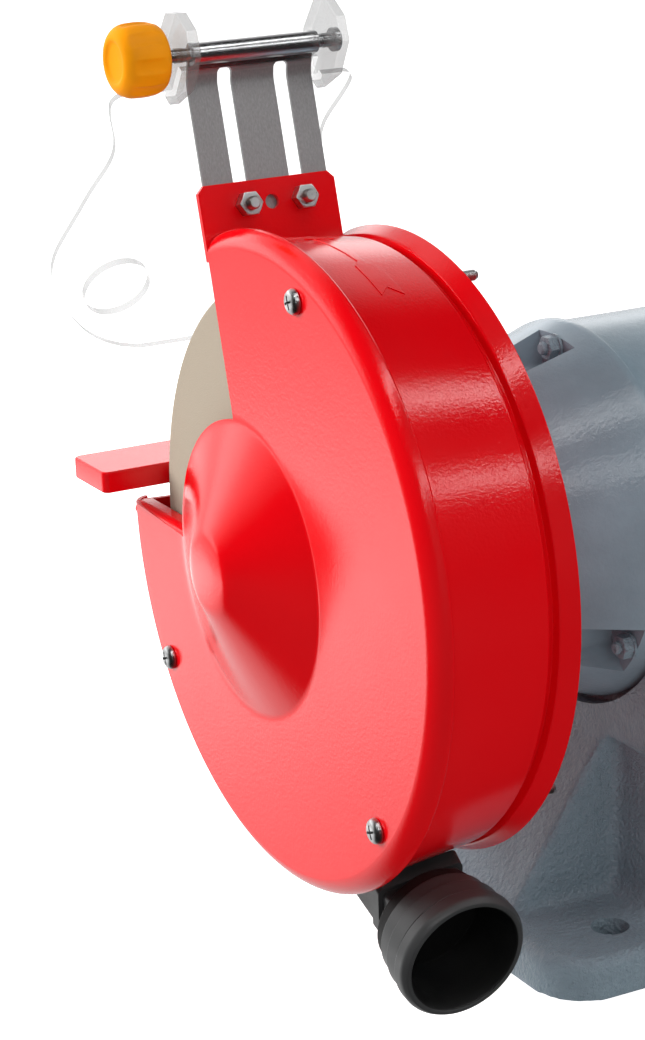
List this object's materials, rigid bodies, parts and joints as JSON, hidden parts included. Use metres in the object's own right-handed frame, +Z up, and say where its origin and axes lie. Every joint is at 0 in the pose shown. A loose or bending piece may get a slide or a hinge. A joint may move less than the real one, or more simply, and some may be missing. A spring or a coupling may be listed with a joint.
{
  "type": "bench grinder",
  "caption": "Bench grinder: a motor on a cast base turns abrasive wheels inside red sheet guards, each with a tool rest, a tilting clear eye shield and a rear dust outlet.",
  "frame": {"origin": "centre of the base's underside, on the bench", "axes": "+Z up, +X along the shaft to the operator's right, operator at -Y, dust outlets towards +Y"},
  "size_m": [0.5594, 0.318, 0.4378],
  "materials": {
    "red_paint": "gloss red powder coat with fine orange peel",
    "grey_paint": "semi-gloss hammered blue-grey paint",
    "cast_grey": "hammered blue-grey paint over cast iron",
    "steel": "turned steel",
    "sheet_steel": "satin zinc-plated sheet",
    "zinc": "zinc plate",
    "iron": "stacked electrical steel",
    "copper": "enamelled copper wire",
    "abrasive": "coarse vitrified abrasive grit, grey-beige",
    "rubber": "black moulded rubber",
    "clear_plastic": "clear moulded pane",
    "orange_plastic": "orange moulded plastic",
    "black_plastic": "fine-textured black plastic",
    "green_plastic": "green push button",
    "red_plastic": "red push button"
  },
  "bodies": {
    "frame": {"base": "cast_grey", "base_plate": "zinc", "motor_housing": "grey_paint", "tie_bolt_1": "zinc", "tie_bolt_2": "zinc", "tie_bolt_3": "zinc", "stator_core": "iron", "stator_winding": "copper", "capacitor": "black_plastic", "cable_gland": "black_plastic", "switch_box": "black_plastic", "right_end_bell": "cast_grey", "right_bearing": "steel", "right_guard_body": "red_paint", "right_guard_cover": "red_paint", "right_cover_bolt_1": "zinc", "right_cover_bolt_2": "zinc", "right_cover_bolt_3": "zinc", "right_rest_bolt": "zinc", "right_plate_bolt_1": "zinc", "right_plate_bolt_2": "zinc", "right_dust_spigot": "rubber", "right_spigot_flange": "black_plastic", "left_end_bell": "cast_grey", "left_bearing": "steel", "left_guard_body": "red_paint", "left_guard_cover": "red_paint", "left_cover_bolt_1": "zinc", "left_cover_bolt_2": "zinc", "left_cover_bolt_3": "zinc", "left_rest_bolt": "zinc", "left_plate_bolt_1": "zinc", "left_plate_bolt_2": "zinc", "left_dust_spigot": "rubber", "left_spigot_flange": "black_plastic"},
    "spindle": {"shaft": "steel", "rotor": "iron", "right_inner_flange": "steel", "right_wheel": "abrasive", "right_outer_flange": "steel", "right_spindle_nut": "zinc", "left_inner_flange": "steel", "left_wheel": "abrasive", "left_outer_flange": "steel", "left_spindle_nut": "zinc"},
    "start_button": {"start_button": "green_plastic"},
    "stop_button": {"stop_button": "red_plastic"},
    "right_spark_plate": {"right_slotted_plate": "sheet_steel", "right_shield_rod": "steel"},
    "right_shield": {"right_eye_shield": "clear_plastic"},
    "right_knob": {"right_shield_knob": "orange_plastic"},
    "right_rest": {"right_tool_rest": "red_paint", "right_rest_arm": "red_paint"},
    "left_spark_plate": {"left_slotted_plate": "sheet_steel", "left_shield_rod": "steel"},
    "left_shield": {"left_eye_shield": "clear_plastic"},
    "left_knob": {"left_shield_knob": "orange_plastic"},
    "left_rest": {"left_tool_rest": "red_paint", "left_rest_arm": "red_paint"}
  },
  "joints": [
    {"name": "spindle_spin", "type": "hinge", "parent": "frame", "child": "spindle", "pos_m": [0, 0, 0.2], "axis": [1, 0, 0], "continuous": true},
    {"name": "start_press", "type": "slide", "parent": "frame", "child": "start_button", "axis": [0, 1, 0], "range_m": [0, 0.004], "stiffness_N_per_m": 250},
    {"name": "stop_press", "type": "slide", "parent": "frame", "child": "stop_button", "axis": [0, 1, 0], "range_m": [0, 0.005], "stiffness_N_per_m": 250},
    {"name": "right_plate_slide", "type": "slide", "parent": "frame", "child": "right_spark_plate", "axis": [0, -0.2588, 0.9659], "range_m": [-0.02, 0]},
    {"name": "right_shield_tilt", "type": "hinge", "parent": "right_spark_plate", "child": "right_shield", "pos_m": [0.2087, -0.06389, 0.4187], "axis": [1, 0, 0], "range_deg": [-110, 7]},
    {"name": "right_knob_turn", "type": "hinge", "parent": "right_spark_plate", "child": "right_knob", "pos_m": [0.25, -0.06389, 0.4187], "axis": [1, 0, 0], "range_deg": [0, 180]},
    {"name": "right_rest_slide", "type": "slide", "parent": "frame", "child": "right_rest", "axis": [0, 1, 0], "range_m": [-0.015, 0.002]},
    {"name": "left_plate_slide", "type": "slide", "parent": "frame", "child": "left_spark_plate", "axis": [0, -0.2588, 0.9659], "range_m": [-0.02, 0]},
    {"name": "left_shield_tilt", "type": "hinge", "parent": "left_spark_plate", "child": "left_shield", "pos_m": [-0.2087, -0.06389, 0.4187], "axis": [1, 0, 0], "range_deg": [-110, 7]},
    {"name": "left_knob_turn", "type": "hinge", "parent": "left_spark_plate", "child": "left_knob", "pos_m": [-0.25, -0.06389, 0.4187], "axis": [1, 0, 0], "range_deg": [0, 180]},
    {"name": "left_rest_slide", "type": "slide", "parent": "frame", "child": "left_rest", "axis": [0, 1, 0], "range_m": [-0.015, 0.002]}
  ]
}
